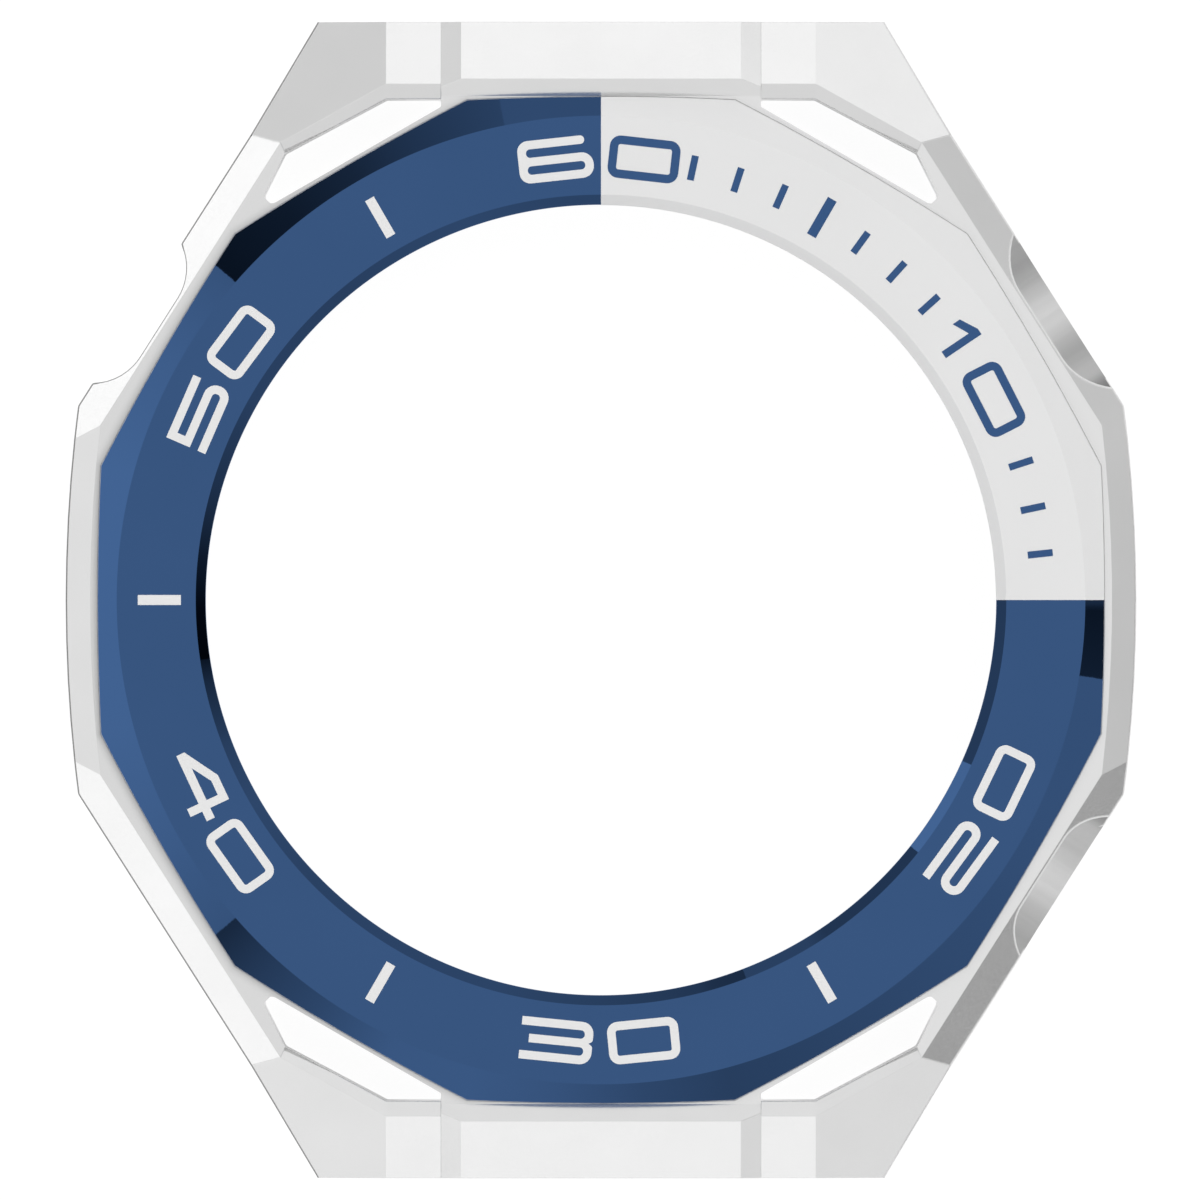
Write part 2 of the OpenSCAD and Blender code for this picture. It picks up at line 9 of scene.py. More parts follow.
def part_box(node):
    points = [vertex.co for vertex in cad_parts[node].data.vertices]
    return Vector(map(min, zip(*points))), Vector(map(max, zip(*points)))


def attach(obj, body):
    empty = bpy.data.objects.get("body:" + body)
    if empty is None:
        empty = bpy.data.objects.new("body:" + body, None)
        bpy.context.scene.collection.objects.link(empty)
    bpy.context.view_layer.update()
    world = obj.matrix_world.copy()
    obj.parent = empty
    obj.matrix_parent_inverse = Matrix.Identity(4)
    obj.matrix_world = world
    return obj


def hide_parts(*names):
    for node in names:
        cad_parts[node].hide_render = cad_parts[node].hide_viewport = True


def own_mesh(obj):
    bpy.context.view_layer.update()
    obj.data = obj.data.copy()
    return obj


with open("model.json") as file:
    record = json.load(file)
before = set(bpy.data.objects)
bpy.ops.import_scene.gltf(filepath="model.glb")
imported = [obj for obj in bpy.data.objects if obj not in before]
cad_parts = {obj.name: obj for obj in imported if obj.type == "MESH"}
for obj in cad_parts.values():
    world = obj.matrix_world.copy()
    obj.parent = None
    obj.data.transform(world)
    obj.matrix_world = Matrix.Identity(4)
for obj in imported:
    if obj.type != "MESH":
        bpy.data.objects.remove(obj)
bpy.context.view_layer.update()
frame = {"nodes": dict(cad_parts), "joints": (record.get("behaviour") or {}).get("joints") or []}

# Lengths are in millimetres and become metres by this factor
MM = 0.001

# Heights and sizes of the case and its dial ring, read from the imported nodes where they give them
FACE_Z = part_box("insert_blue")[1].z / MM
FLOOR_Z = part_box("insert_blue")[0].z / MM
RING_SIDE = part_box("insert_blue")[1].y / MM
RIM_Z = 9.6
SPLIT_Z = 7.6
BRIM_Z = RIM_Z - 0.15
WINDOW_R = 18.81
FACE_R = 23.05
SPIGOT_R = FACE_R + 0.15
RING_SLOPE = math.radians(26)
WINDOW_CHAMFER = 0.48
CHAMFER_DEPTH = 0.4

# The ring's outline: twelve sides, each an arc of a large radius, and what one spans in degrees
BOW_R = 130.0
SIDE_SPAN = 30

# Direction out of the case's diagonal walls, from the 3 o'clock axis
WALL_AZ = math.radians(32.5)


# Pieces


def show(name, data):
    """Puts an object with its mesh, curve or camera into the scene."""
    thing = bpy.data.objects.new(name, data)
    bpy.context.scene.collection.objects.link(thing)
    return thing


def meshed(scratch):
    """The mesh of a scratch object with its modifiers applied. The object goes."""
    graph = bpy.context.evaluated_depsgraph_get()
    mesh = bpy.data.meshes.new_from_object(scratch.evaluated_get(graph))
    bpy.data.objects.remove(scratch)
    return mesh


def paint(mesh, *materials):
    """Gives a mesh its materials."""
    mesh.materials.clear()
    for material in materials:
        mesh.materials.append(material)


def case_piece(name, mesh, node=None):
    """A piece that rides on the case, and the node that it replaces, if any."""
    piece = show(name, mesh)
    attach(piece, "case")
    if node:
        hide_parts(node)
    return piece


# Shader nodes


def feed(tree, sockets, values):
    """Links sockets to other sockets, or sets them to numbers, vectors or colours."""
    for socket, value in zip(sockets, values):
        if isinstance(value, bpy.types.NodeSocket):
            tree.links.new(value, socket)
        elif socket.type == "RGBA":
            socket.default_value = (*value, 1)
        else:
            socket.default_value = value


def settle(tree, node, **values):
    """Feeds a node's inputs by name."""
    feed(tree, [node.inputs[key.replace("_", " ")] for key in values], values.values())


def add(tree, kind, **values):
    """Adds a node, and sets its properties and its inputs by name."""
    node = tree.nodes.new(kind)
    for key, value in values.items():
        if hasattr(node, key):
            setattr(node, key, value)
        else:
            settle(tree, node, **{key: value})
    return node


def math_node(tree, kind, *values):
    node = add(tree, "ShaderNodeMath", operation=kind)
    feed(tree, node.inputs, values)
    return node.outputs[0]


def vector_math(tree, kind, *values):
    node = add(tree, "ShaderNodeVectorMath", operation=kind)
    feed(tree, node.inputs, values)
    return node.outputs["Value" if kind in ("DOT_PRODUCT", "LENGTH") else "Vector"]


def parts(tree, vector):
    """The x, y and z of a vector."""
    node = add(tree, "ShaderNodeSeparateXYZ", Vector=vector)
    return tuple(node.outputs)


# For each kind of data, which of the mix node's inputs is the first of the two, and its output
MIX_SOCKETS = {"FLOAT": (2, 0), "RGBA": (6, 2)}


def mixed(tree, share, low, high, kind="FLOAT", blend="MIX"):
    """A number or a colour between two, each given or a socket."""
    node = add(tree, "ShaderNodeMix", data_type=kind, blend_type=blend)
    first, result = MIX_SOCKETS[kind]
    feed(tree, [node.inputs[0], *node.inputs[first:first + 2]], (share, low, high))
    return node.outputs[result]


def chosen(tree, share, first, second):
    """The first node's shader, or the second's where the share is 1."""
    node = add(tree, "ShaderNodeMixShader")
    feed(tree, node.inputs, (share, first.outputs[0], second.outputs[0]))
    return node.outputs[0]


def map_range(tree, value, low, high, first=0.0, last=1.0, kind="LINEAR"):
    """Maps a value from low to high onto first to last, and stops at the ends."""
    node = add(tree, "ShaderNodeMapRange", interpolation_type=kind, Value=value,
               From_Min=low, From_Max=high, To_Min=first, To_Max=last)
    return node.outputs["Result"]


def grey_ramp(tree, share, stops, interpolation="LINEAR"):
    """A grey that changes with a share from 0 to 1: position and level of each stop."""
    node = add(tree, "ShaderNodeValToRGB")
    feed(tree, node.inputs, [share])
    node.color_ramp.interpolation = interpolation
    elements = node.color_ramp.elements
    for position, _ in stops[1:-1]:
        elements.new(position)
    for element, (_, level) in zip(elements, stops):
        element.color = (level, level, level, 1)
    return node.outputs["Color"]


def noise(tree, size, detail, stretch=(1, 1, 1)):
    """Noise in the object's own space, with grains of a size."""
    place = add(tree, "ShaderNodeTexCoord").outputs["Object"]
    mapping = add(tree, "ShaderNodeMapping", Vector=place, Scale=[s / (size * MM) for s in stretch])
    texture = add(tree, "ShaderNodeTexNoise", Vector=mapping.outputs["Vector"], Scale=1.0,
                  Detail=detail)
    return texture.outputs["Fac"]


# The range that nearly all of a noise lies in
NOISE_RANGE = (0.3, 0.7)


def spread(tree, source, low, high):
    """Maps noise to a range of values."""
    return map_range(tree, source, *NOISE_RANGE, low, high)


# Materials

# Radius by which the shading rounds off the edges of metal
EDGE_ROUND = 0.05
EDGE_SAMPLES = 6

# Satin of the case: range of roughness, size of its grain and height of its relief
SATIN_ROUGH = (0.18, 0.23)
SATIN_GRAIN = 0.09
SATIN_RELIEF = 0.0003

# The flat rim at its left and its right: place across, the metal's tone there, which is painted
# shade that darkens the left, and how much painted shade darkens it next to the ring. Then the
# width of that shade
RIM_LEFT = (-25.0, 0.84, 0.40)
RIM_RIGHT = (8.0, 0.92, 0.04)
RING_SHADE_W = 0.55

# Scoops: half their length, the size and depth of their streaks, and the metal's tone along the
# wall, from the end near 3 o'clock on: light and dark bands of painted reflection
SCOOP_HALF = 4.4
SCOOP_ROUGH = 0.22
STREAK_SIZE = 0.5
STREAK_TONES = (0.95, 1.05)
STREAK_RELIEF = 0.002
UPPER_PAINTED_TONES = (
    (0, 0.11), (0.045, 0.25), (0.09, 0.48), (0.14, 0.53), (0.205, 0.46), (0.26, 0.415),
    (0.32, 0.49), (0.43, 0.72), (0.5, 0.77), (0.59, 0.69), (0.68, 0.53), (0.77, 0.38),
    (0.86, 0.35), (1, 0.35),
)
LOWER_PAINTED_TONES = (
    (0, 0.16), (0.055, 0.29), (0.10, 0.51), (0.16, 0.57), (0.27, 0.57), (0.36, 0.68),
    (0.465, 0.775), (0.545, 0.71), (0.635, 0.58), (0.73, 0.48), (0.82, 0.40), (1, 0.37),
)


def node_tree(name):
    """A new material, its node tree and its shader."""
    material = bpy.data.materials.new(name)
    material.use_nodes = True
    tree = material.node_tree
    return material, tree, tree.nodes["Principled BSDF"]


def add_relief(tree, shader, source, height, strength=0.5, rounded=True):
    """Relief of a height, on edges that are rounded off by a hair if so wanted."""
    node = add(tree, "ShaderNodeBump", Strength=strength, Distance=height * MM, Height=source)
    if rounded:
        rounding = add(tree, "ShaderNodeBevel", samples=EDGE_SAMPLES, Radius=EDGE_ROUND * MM)
        settle(tree, node, Normal=rounding.outputs["Normal"])
    settle(tree, shader, Normal=node.outputs["Normal"])


def surface(name, light, dark, rough, grain, relief, metallic=1.0, patch=4.0, detail=2.0,
            stretch=(1, 1, 1), strength=0.5, rounded=True):
    """A material with broad patches of two tones, and fine grain in its roughness and relief."""
    material, tree, shader = node_tree(name)
    fine = noise(tree, grain, detail, stretch)
    broad = noise(tree, patch, detail)
    colour = mixed(tree, spread(tree, broad, 0.0, 1.0), light, dark, "RGBA")
    settle(tree, shader, Metallic=metallic, Base_Color=colour,
           Roughness=spread(tree, fine, *rough))
    add_relief(tree, shader, fine, relief, strength, rounded)
    return material


def rubber(name, light, dark):
    return surface(name, light, dark, rough=(0.62, 0.8), grain=0.08, relief=0.01, metallic=0.0,
                   patch=3.0, detail=3.0)


def glaze(name, light, dark, metallic, rough):
    """Glazed ring and its print, with faint orange peel."""
    return surface(name, light, dark, rough, grain=0.12, relief=0.0002, metallic=metallic,
                   patch=6.0, strength=0.3, rounded=False)


def streaks_with_painted_reflection(name, side, painted_tones):
    """Wall of the scoop on one side of the axis: a painted reflection, its tone lighter and darker
    along it, in fine streaks.
    """
    material, tree, shader = node_tree(name)
    place = add(tree, "ShaderNodeTexCoord").outputs["Object"]
    wall = (-math.sin(WALL_AZ), side * math.cos(WALL_AZ), 0)
    along = vector_math(tree, "DOT_PRODUCT", place, wall)
    share = map_range(tree, along, -SCOOP_HALF * MM, SCOOP_HALF * MM)
    # Painted reflection: the tone along the wall stands in for what the wall mirrors
    tone = grey_ramp(tree, share, painted_tones, "CARDINAL")
    fine = add(tree, "ShaderNodeTexNoise", noise_dimensions="1D", W=along,
               Scale=1 / (STREAK_SIZE * MM), Detail=4.0).outputs["Fac"]
    streaks = spread(tree, fine, *STREAK_TONES)
    colour = mixed(tree, 1.0, tone, streaks, "RGBA", "MULTIPLY")
    settle(tree, shader, Metallic=1.0, Roughness=SCOOP_ROUGH, Base_Color=colour)
    add_relief(tree, shader, fine, STREAK_RELIEF, rounded=False)
    return material


def from_ring(tree, place):
    """Distance of a place from the ring's outline."""
    flat = vector_math(tree, "MULTIPLY", place, (1, 1, 0))
    x, y, _ = parts(tree, flat)
    half = math.radians(SIDE_SPAN / 2)
    off = math_node(tree, "WRAP", math_node(tree, "ARCTAN2", y, x), half, -half)
    reach = vector_math(tree, "LENGTH", flat)
    out = math_node(tree, "MULTIPLY", reach, math_node(tree, "COSINE", off))
    along = math_node(tree, "MULTIPLY", reach, math_node(tree, "SINE", off))
    out = math_node(tree, "ADD", out, (BOW_R - RING_SIDE) * MM)
    square = math_node(tree, "ADD", math_node(tree, "MULTIPLY", out, out),
                       math_node(tree, "MULTIPLY", along, along))
    return math_node(tree, "SUBTRACT", math_node(tree, "SQRT", square), BOW_R * MM)


def rim_with_painted_shade(name):
    """Satin of the flat rim with painted shade: darker on the left, and darker still next to the
    ring, most so on the left.
    """
    material, tree, shader = node_tree(name)
    place = add(tree, "ShaderNodeTexCoord").outputs["Object"]
    # Painted shade: the tone falls from right to left, and falls further next to the ring
    across = map_range(tree, parts(tree, place)[0], RIM_LEFT[0] * MM, RIM_RIGHT[0] * MM)
    tone = mixed(tree, across, RIM_LEFT[1], RIM_RIGHT[1])
    ring_shade = mixed(tree, across, RIM_LEFT[2], RIM_RIGHT[2])
    away = math_node(tree, "DIVIDE", from_ring(tree, place), RING_SHADE_W * MM)
    near = math_node(tree, "SUBTRACT", 1.0, math_node(tree, "MINIMUM", away, 1.0))
    painted_shade = math_node(tree, "MULTIPLY", ring_shade, math_node(tree, "MULTIPLY", near, near))
    tone = math_node(tree, "MULTIPLY", tone, math_node(tree, "SUBTRACT", 1.0, painted_shade))
    fine = noise(tree, SATIN_GRAIN, 2.0)
    settle(tree, shader, Metallic=1.0, Base_Color=tone,
           Roughness=spread(tree, fine, *SATIN_ROUGH))
    add_relief(tree, shader, fine, SATIN_RELIEF, rounded=False)
    return material


def grey(tone):
    return (tone, tone, tone)


BLUES = ((0.053, 0.1215, 0.283), (0.051, 0.118, 0.275))

# A metal's values: light and dark tone, range of roughness, size of its grain, height of its relief
# The scoops' walls, with painted reflections along them
upper_streaks_and_reflection = streaks_with_painted_reflection("upper_scoop_painted_reflection", 1, UPPER_PAINTED_TONES)
lower_streaks_and_reflection = streaks_with_painted_reflection("lower_scoop_painted_reflection", -1, LOWER_PAINTED_TONES)
# Painted shade: dark grey for the bevels along the left outline
painted_shade_edge = surface("painted_shade_edge", grey(0.37), grey(0.34), SATIN_ROUGH, SATIN_GRAIN, SATIN_RELIEF)
rim_painted_shade_satin = rim_with_painted_shade("rim_painted_shade_satin")
satin = surface("satin_metal", grey(0.90), grey(0.875), SATIN_ROUGH, SATIN_GRAIN, SATIN_RELIEF)
polished = surface("polished_metal", grey(0.90), grey(0.87), (0.10, 0.14), 0.2, 0.0005)
turned = surface("turned_metal", (0.72, 0.72, 0.71), grey(0.62), (0.24, 0.36), 0.1, 0.003)
drawn = surface("drawn_metal", grey(0.66), grey(0.56), (0.2, 0.34), 0.07, 0.003,
                stretch=(0.1, 1, 1))
wire = surface("spring_wire", (0.55, 0.55, 0.57), (0.45, 0.45, 0.47), (0.22, 0.34), 0.05, 0.002)
black_rubber = rubber("gasket_rubber", (0.030, 0.030, 0.034), (0.018, 0.018, 0.020))
liner_rubber = rubber("liner_rubber", (0.050, 0.050, 0.055), (0.034, 0.034, 0.038))
glue = rubber("bond_film", grey(0.10), grey(0.06))
blue_glaze = glaze("blue_glaze", *BLUES, 1.0, (0.012, 0.02))
white_glaze = glaze("white_glaze", grey(0.90), grey(0.885), 0.0, (0.3, 0.36))
white_ink = glaze("white_ink", grey(0.92), grey(0.90), 0.0, (0.35, 0.45))
blue_ink = glaze("blue_ink", *BLUES, 1.0, (0.2, 0.26))


# Case metal: copies of the two solids with a narrow bevel along their outer edges

# The finishes of these copies, in the order of their material slots. The left bevels and the rim
# carry painted shade, the scoops painted reflections
CASE_FINISHES = (satin, painted_shade_edge, rim_painted_shade_satin, upper_streaks_and_reflection, lower_streaks_and_reflection)
SATIN, PAINTED_SHADE_BEVEL, PAINTED_SHADE_RIM, UPPER_SCOOP, LOWER_SCOOP = range(5)

# Width of the bevel, and the share of it that the notch's edges get
RIM_SOFT = 0.08
RIM_SEGMENTS = 2
NOTCH_SHARE = 0.55

# An edge is shaded smooth below the first angle, and may be bevelled above the second
TANGENT = math.radians(2)
SHARP = math.radians(14)

# Distances from which on a point belongs to a diagonal wall with its scoop or notch, to the
# diagonal wall itself, and to a side wall
DIAGONAL_D = 24.5
OUTER_D = 25.8
SIDE_X = 24.8

# Bevels begin this far above the seam between the two solids. None runs along a horn's root: a
# wall further out than ROOT_Y whose normal's y is more than ROOT_FACING
SEAM_GAP = 0.1
ROOT_Y = 21.6
ROOT_FACING = 0.7

# A face whose normal's z is smaller than this is a wall
STEEP = 0.4

# Tilt of the scoops' walls, how well a face has to match it, and what counts as level and as
# lying at the rim's height
SCOOP_TILT = math.atan(1.3 / 3.6)
TILT_SLACK = 0.02
LEVEL = 0.999
LEVEL_GAP = 0.01

# Feet of the hoods: their normal's y and z are more than these, and the slope they are shaded with
FOOT_FACING = 0.75
FOOT_RISE = 0.3
FOOT_TILT = math.radians(10)

# Vertices that agree to this many digits of a millimetre are one
WELD_DIGITS = 3


def outward(point):
    """Direction out of the diagonal wall nearest to a point."""
    turn = math.copysign(WALL_AZ, point.y)
    return Vector((math.copysign(math.cos(turn), point.x), math.sin(turn), 0))


def at_outline(point):
    """Whether a point lies on the outer walls, in a scoop or in the notch."""
    x, y = abs(point.x) / MM, abs(point.y) / MM
    diagonal = x * math.cos(WALL_AZ) + y * math.sin(WALL_AZ)
    return diagonal > DIAGONAL_D or x > SIDE_X


def is_outermost(point):
    """Whether a point lies on the outer walls themselves, and not in a scoop or the notch."""
    return point.dot(outward(point)) > OUTER_D * MM or abs(point.x) > SIDE_X * MM


def middle_of(edge):
    return (edge.verts[0].co + edge.verts[1].co) / 2


def is_soft(edge):
    """Whether an edge gets a bevel: the rims of the outer walls, the scoops and the notch."""
    middle = middle_of(edge)
    if middle.z < (SPLIT_Z + SEAM_GAP) * MM or not at_outline(middle):
        return False
    walls = [f.normal for f in edge.link_faces if abs(f.normal.z) < STEEP]
    at_root = any(abs(normal.y) > ROOT_FACING for normal in walls)
    return bool(walls) and not (at_root and abs(middle.y) > ROOT_Y * MM)


def welded(source):
    """A solid with its doubled vertices merged, and its faces' shading normals by vertex."""
    bm = bmesh.new()
    normals = [c.vector.copy() for c in source.corner_normals]
    verts = {}
    merged = []
    for v in source.vertices:
        key = tuple(round(c / MM, WELD_DIGITS) for c in v.co)
        if key not in verts:
            verts[key] = bm.verts.new(v.co)
        merged.append(verts[key])
    shaded = {}
    for p in source.polygons:
        corners = [merged[i] for i in p.vertices]
        if len(set(corners)) == len(corners):
            face = bm.faces.new(corners)
            shaded[face] = {v: normals[p.loop_start + k] for k, v in enumerate(corners)}
    bm.normal_update()
    return bm, shaded


def softened(node):
    """The mesh of a solid: the same faces, with a narrow bevel along its outer edges."""
    bm, shaded = welded(frame["nodes"][node].data)
    weight = bm.edges.layers.float.new("bevel_weight_edge")
    for edge in bm.edges:
        if len(edge.link_faces) != 2:
            continue
        one, other = (shaded[f] for f in edge.link_faces)
        edge.smooth = all(one[v].angle(other[v], 0) < TANGENT for v in edge.verts)
        if not edge.smooth and edge.calc_face_angle(0) > SHARP and is_soft(edge):
            middle = middle_of(edge)
            edge[weight] = 1.0 if middle.x > 0 or is_outermost(middle) else NOTCH_SHARE
    mesh = bpy.data.meshes.new(node + "_welded")
    bm.to_mesh(mesh)
    bm.free()
    mesh.shade_smooth()
    paint(mesh, *CASE_FINISHES)
    scratch = show(node + "_scratch", mesh)
    bevel = scratch.modifiers.new("soft edges", "BEVEL")
    bevel.limit_method = "WEIGHT"
    bevel.width = RIM_SOFT * MM
    bevel.segments = RIM_SEGMENTS
    bevel.use_clamp_overlap = False
    bevel.loop_slide = False
    bevel.harden_normals = True
    bevel.miter_outer = "MITER_ARC"
    bevel.material = PAINTED_SHADE_BEVEL
    return meshed(scratch)


def finish_of(face):
    """Which of the case's finishes a face has. Bevels get painted shade on the left only."""
    spot, normal = face.center, face.normal
    if face.material_index == PAINTED_SHADE_BEVEL:
        return PAINTED_SHADE_BEVEL if spot.x < 0 else SATIN
    if normal.z > LEVEL and abs(spot.z - RIM_Z * MM) < LEVEL_GAP * MM:
        return PAINTED_SHADE_RIM
    out = outward(spot)
    down = out * math.sin(SCOOP_TILT) - Vector((0, 0, math.cos(SCOOP_TILT)))
    if spot.x > 0 and abs(normal.dot(down)) < TILT_SLACK and spot.dot(out) > DIAGONAL_D * MM:
        return UPPER_SCOOP if spot.y > 0 else LOWER_SCOOP
    return SATIN


def is_foot(face):
    """Whether a face is the steep foot of a hood."""
    spot, normal = face.center, face.normal
    facing_in = normal.y * spot.y < 0 and abs(normal.y) > FOOT_FACING
    return facing_in and spot.z > RIM_Z * MM and normal.z > FOOT_RISE


for node in ("bezel_frame", "mid_case"):
    mesh = softened(node)
    normals = [c.vector.copy() for c in mesh.corner_normals]
    for face in mesh.polygons:
        face.material_index = finish_of(face)
        if is_foot(face):
            lean = math.copysign(math.sin(FOOT_TILT), -face.center.y)
            for i in face.loop_indices:
                normals[i] = Vector((0, lean, math.cos(FOOT_TILT)))
    mesh.normals_split_custom_set(normals)
    case_piece(node + "_finish", mesh, node)


# Dial ring: a turned profile clipped by the bowed sides

# Step in degrees, angle from which an edge is shaded sharp, and the soft foot of the chamfer
RING_STEP = 0.5
RING_SHARP = math.radians(12)
CHAMFER_SOFT = 0.03


def ring_reach(angle):
    """Distance of the ring's outline from the centre, in a direction in degrees."""
    off = math.radians((angle + SIDE_SPAN / 2) % SIDE_SPAN - SIDE_SPAN / 2)
    back = BOW_R - RING_SIDE
    return -back * math.cos(off) + math.sqrt(BOW_R ** 2 - (back * math.sin(off)) ** 2)


def ring_profile(angle):
    """Points (radius, height) of the section, from the window's foot round to the spigot's."""
    reach = ring_reach(angle)
    foot_z = FACE_Z - math.tan(RING_SLOPE) * (reach - FACE_R)
    return [
        (WINDOW_R, FLOOR_Z),
        (WINDOW_R, FACE_Z - CHAMFER_DEPTH - CHAMFER_SOFT),
        (WINDOW_R + CHAMFER_SOFT / 2, FACE_Z - CHAMFER_DEPTH + CHAMFER_SOFT / 3),
        (WINDOW_R + WINDOW_CHAMFER, FACE_Z),
        (FACE_R, FACE_Z),
        (reach, foot_z),
        (reach, BRIM_Z),
        (SPIGOT_R, BRIM_Z),
        (SPIGOT_R, FLOOR_Z),
    ]


def ring_part(name, first, last, material, node):
    """The stretch of the dial ring between two directions, in degrees."""
    steps = round((last - first) / RING_STEP)
    verts = []
    for i in range(steps + 1):
        angle = first + i * RING_STEP
        a = math.radians(angle)
        for r, z in ring_profile(angle):
            verts.append((r * math.cos(a) * MM, r * math.sin(a) * MM, z * MM))
    count = len(ring_profile(0))
    faces = []
    for i in range(steps):
        for k in range(count):
            p = i * count + k
            q = i * count + (k + 1) % count
            faces.append((p, p + count, q + count, q))
    faces.append(tuple(range(count)))
    faces.append(tuple(range((steps + 1) * count - 1, steps * count - 1, -1)))
    mesh = bpy.data.meshes.new(name)
    mesh.from_pydata(verts, [], faces)
    mesh.validate()
    bm = bmesh.new()
    bm.from_mesh(mesh)
    bmesh.ops.recalc_face_normals(bm, faces=bm.faces)
    for edge in bm.edges:
        edge.smooth = edge.calc_face_angle(0) < RING_SHARP
    bm.to_mesh(mesh)
    bm.free()
    mesh.shade_smooth()
    paint(mesh, material)
    case_piece(name, mesh, node)


ring_part("dial_ring_blue", 90, 360, blue_glaze, "insert_blue")
ring_part("dial_ring_white", 0, 90, white_glaze, "insert_white")


# Printed scale: marks and numerals as flat inlays in the face

# Radius of the marks' middles, how far within it those of the numerals lie, the digits' stroke and
# height, and the inlays' thickness and how far they stand proud
SCALE_R = 21.02
NUMERAL_SHIFT = 0.05
STROKE = 0.405
DIGIT_H = 5 * STROKE
INK_DEPTH = 0.05
INK_RISE = 0.012

# Digits: half a stroke, half the height, and how high the top bar's middle and lower edge lie
ROW = STROKE / 2
TOP = DIGIT_H / 2
SPINE = TOP - ROW
ARM = TOP - STROKE

# Radii of their corners: on the middle line of an open stroke, on that of a closed one, and on
# the outside and the inside of other forms. Then the steps in which a corner is turned
BOWL = 0.38
HOLLOW = 0.31
OUTER = 0.56
INNER = 0.19
CORNER_STEPS = 6

# A stroke's edges meet no further out than half its width divided by this
MITRE_LIMIT = 0.3


def clock(angle, radius):
    """Place on the face, by degrees clockwise from 12 and distance from the centre."""
    a = math.radians(angle)
    return Vector((radius * math.sin(a), radius * math.cos(a)))


def inked(name, outlines, material):
    """A flat inlay with the given outlines, a hair proud of the face."""
    curve = bpy.data.curves.new(name, "CURVE")
    curve.dimensions = "2D"
    curve.fill_mode = "BOTH"
    curve.extrude = INK_DEPTH / 2 * MM
    for outline in outlines:
        spline = curve.splines.new("POLY")
        spline.points.add(len(outline) - 1)
        for point, p in zip(spline.points, outline):
            point.co = (p[0] * MM, p[1] * MM, 0, 1)
        spline.use_cyclic_u = True
    mesh = meshed(show(name + "_curve", curve))
    mesh.transform(Matrix.Translation((0, 0, (FACE_Z + INK_RISE - INK_DEPTH / 2) * MM)))
    paint(mesh, material)
    case_piece(name, mesh)


def mark(angle, length, width):
    """The outline of a radial mark."""
    out = clock(angle, 1)
    side = Vector((out.y, -out.x)) * width / 2
    near = out * (SCALE_R - length / 2)
    far = out * (SCALE_R + length / 2)
    return [near - side, far - side, far + side, near + side]


def rounded(points, radius, closed=True):
    """A polyline with its corners rounded. radius is one number, or one for each corner."""
    radii = radius if isinstance(radius, (list, tuple)) else [radius] * len(points)
    path = []
    for i, point in enumerate(points):
        point = Vector(point)
        at_end = not closed and i in (0, len(points) - 1)
        if at_end or radii[i] == 0:
            path.append(point)
            continue
        u = (Vector(points[i - 1]) - point).normalized()
        v = (Vector(points[(i + 1) % len(points)]) - point).normalized()
        half = u.angle(v) / 2
        middle = point + (u + v).normalized() * radii[i] / math.sin(half)
        p = point + u * radii[i] / math.tan(half) - middle
        q = point + v * radii[i] / math.tan(half) - middle
        sweep = math.atan2(p.x * q.y - p.y * q.x, p.dot(q))
        for k in range(CORNER_STEPS + 1):
            path.append(middle + Matrix.Rotation(sweep * k / CORNER_STEPS, 2) @ p)
    return path


def rounded_corners(corners):
    """A closed outline from corners that each give x, y and radius."""
    return rounded([c[:2] for c in corners], [c[2] for c in corners])


def block(x, y, radius):
    """A rounded rectangle round the middle, from half its width and height."""
    return rounded([(-x, -y), (x, -y), (x, y), (-x, y)], radius)


def stroke(path):
    """The outline of an open stroke along a path."""
    left, right = [], []
    for i, p in enumerate(path):
        before = path[max(i - 1, 0)]
        after = path[min(i + 1, len(path) - 1)]
        into = (p - before).normalized() if i else (after - p).normalized()
        away = (after - p).normalized() if i < len(path) - 1 else into
        normal = Vector((-(into + away).y, (into + away).x)).normalized()
        reach = STROKE / 2 / max(MITRE_LIMIT, normal.dot(Vector((-into.y, into.x))))
        left.append(p + normal * reach)
        right.append(p - normal * reach)
    return left + right[::-1]


# Each digit below gives its outlines for a width, round its own middle


def zero(w):
    x = w / 2
    return [block(x, TOP, HOLLOW + ROW), block(x - STROKE, ARM, HOLLOW - ROW)]


def one(w):
    """A stem with a flag on its left."""
    left, right, foot, top = 0.19, 0.56, -1.04, 1.0
    flag = [(0.25, top), (-w / 2, 0.54), (-w / 2, 0.13), (left, 0.52)]
    return [[(left, foot), (right, foot), (right, top), *flag]]


def two(w):
    x = w / 2 - ROW
    path = [(-w / 2, SPINE), (x, SPINE), (x, 0), (-x, 0), (-x, -SPINE), (w / 2, -SPINE)]
    return [stroke(rounded(path, BOWL, closed=False))]


def three(w):
    x, waist_w, waist_h, waist_r, tongue = w / 2, 0.19, 0.12, 0.14, 0.4
    return [rounded_corners([
        (-x, -TOP, 0), (x, -TOP, OUTER), (x, -waist_h, waist_r), (x - waist_w, 0, 0),
        (x, waist_h, waist_r), (x, TOP, OUTER), (-x, TOP, 0), (-x, ARM, 0),
        (x - STROKE, ARM, INNER), (x - STROKE, ROW, INNER), (-x + tongue, ROW, 0),
        (-x + tongue, -ROW, 0), (x - STROKE, -ROW, INNER), (x - STROKE, -ARM, INNER),
        (-x, -ARM, 0),
    ])]


def four(w):
    """A stem with a bar across it, and a slope from the bar's left end up to the stem."""
    x, left, right, top = w / 2, 1.2 - STROKE, 1.2, 1.01
    low, high = -0.4, 0.02
    outer = [(-x, low), (-x, high), (-0.06, top), (right, top), (right, high), (x, high),
             (x, low), (right, low), (right, -top), (left, -top), (left, low)]
    inner = [(-0.88, high), (left, high), (left, 0.61), (0.06, 0.61)]
    return [outer, inner]


